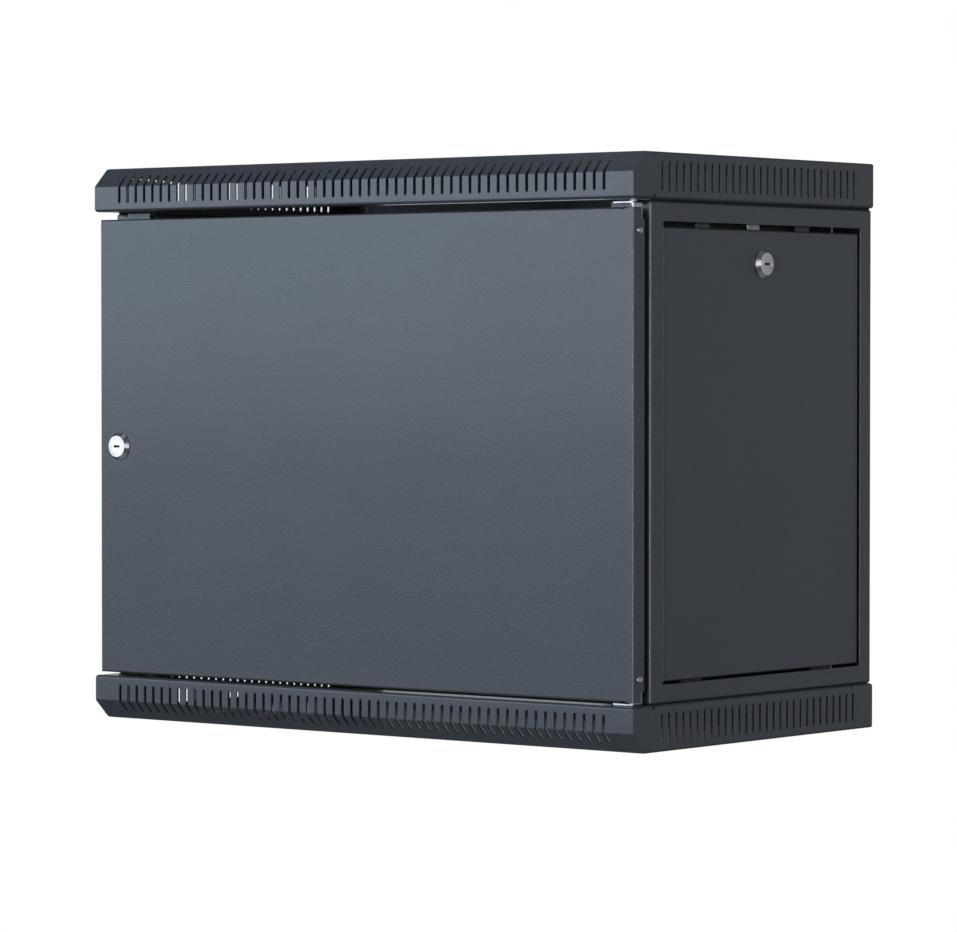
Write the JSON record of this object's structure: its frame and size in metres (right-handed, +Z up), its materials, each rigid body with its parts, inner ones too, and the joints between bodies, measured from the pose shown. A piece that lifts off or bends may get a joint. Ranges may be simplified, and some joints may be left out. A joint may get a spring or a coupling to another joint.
{
  "type": "wall mount network cabinet",
  "caption": "Shallow steel wall cabinet for 19 inch rack equipment, with a solid hinged door, lockable lift-out side panels and slotted, chamfered top and bottom covers.",
  "frame": {"origin": "centre of the pattern of four wall holes, on the wall plane at the cabinet's back", "axes": "+X to the right seen from the front, +Y from the front into the wall, +Z up"},
  "size_m": [0.602, 0.35, 0.492],
  "materials": {
    "cabinet_coat": "fine textured powder coat, satin",
    "rail_coat": "fine textured powder coat, satin",
    "lock_chrome": "polished",
    "lock_plug": "satin",
    "zinc_plate": "bright zinc plate",
    "brass_stud": "plain",
    "buffer_rubber": "matt"
  },
  "bodies": {
    "cabinet": {"bottom_cover": "cabinet_coat", "bottom_entry_plate": "cabinet_coat", "door_buffers": "buffer_rubber", "earth_nut": "brass_stud", "earth_stud": "brass_stud", "entry_plate_screws": "zinc_plate", "frame_shims": "zinc_plate", "left_lock_striker": "zinc_plate", "left_panel_stops": "cabinet_coat", "left_rail": "rail_coat", "left_side_frame": "cabinet_coat", "lower_corner_bolts": "zinc_plate", "lower_hinge_pin": "zinc_plate", "lower_left_carrier": "rail_coat", "lower_right_carrier": "rail_coat", "rail_bolts": "zinc_plate", "rear_panel": "cabinet_coat", "rear_panel_screws": "zinc_plate", "right_lock_striker": "zinc_plate", "right_panel_stops": "cabinet_coat", "right_rail": "rail_coat", "right_side_frame": "cabinet_coat", "top_cover": "cabinet_coat", "top_entry_plate": "cabinet_coat", "upper_corner_bolts": "zinc_plate", "upper_hinge_pin": "zinc_plate", "upper_left_carrier": "rail_coat", "upper_right_carrier": "rail_coat"},
    "door": {"door_shell": "cabinet_coat", "door_stiffener": "cabinet_coat", "upper_hinge_leaf": "zinc_plate", "lower_hinge_leaf": "zinc_plate", "hinge_leaf_screws": "zinc_plate", "door_lock_housing": "lock_chrome", "door_lock_nut": "zinc_plate"},
    "door_lock_core": {"door_lock_plug": "lock_plug", "door_lock_cam": "zinc_plate", "door_lock_cam_screw": "zinc_plate"},
    "right_panel": {"right_side_panel": "cabinet_coat", "right_lock_housing": "lock_chrome", "right_lock_nut": "zinc_plate"},
    "right_lock_core": {"right_lock_plug": "lock_plug", "right_lock_cam": "zinc_plate", "right_lock_cam_screw": "zinc_plate"},
    "left_panel": {"left_side_panel": "cabinet_coat", "left_lock_housing": "lock_chrome", "left_lock_nut": "zinc_plate"},
    "left_lock_core": {"left_lock_plug": "lock_plug", "left_lock_cam": "zinc_plate", "left_lock_cam_screw": "zinc_plate"}
  },
  "joints": [
    {"name": "door_hinge", "type": "hinge", "parent": "cabinet", "child": "door", "pos_m": [0.291, -0.338, 0], "axis": [0, 0, 1], "range_deg": [0, 180]},
    {"name": "door_lock_turn", "type": "hinge", "parent": "door", "child": "door_lock_core", "pos_m": [-0.2742, -0.33, -0.00205], "axis": [0, 1, 0], "range_deg": [0, 90]},
    {"name": "right_panel_tilt", "type": "hinge", "parent": "cabinet", "child": "right_panel", "pos_m": [0.297, -0.16225, -0.1909], "axis": [0, 1, 0], "range_deg": [0, 35]},
    {"name": "right_lock_turn", "type": "hinge", "parent": "right_panel", "child": "right_lock_core", "pos_m": [0.29, -0.16225, 0.1563], "axis": [1, 0, 0], "range_deg": [0, 90]},
    {"name": "left_panel_tilt", "type": "hinge", "parent": "cabinet", "child": "left_panel", "pos_m": [-0.297, -0.16225, -0.1909], "axis": [0, -1, 0], "range_deg": [0, 35]},
    {"name": "left_lock_turn", "type": "hinge", "parent": "left_panel", "child": "left_lock_core", "pos_m": [-0.29, -0.16225, 0.1563], "axis": [1, 0, 0], "range_deg": [0, 90]}
  ]
}
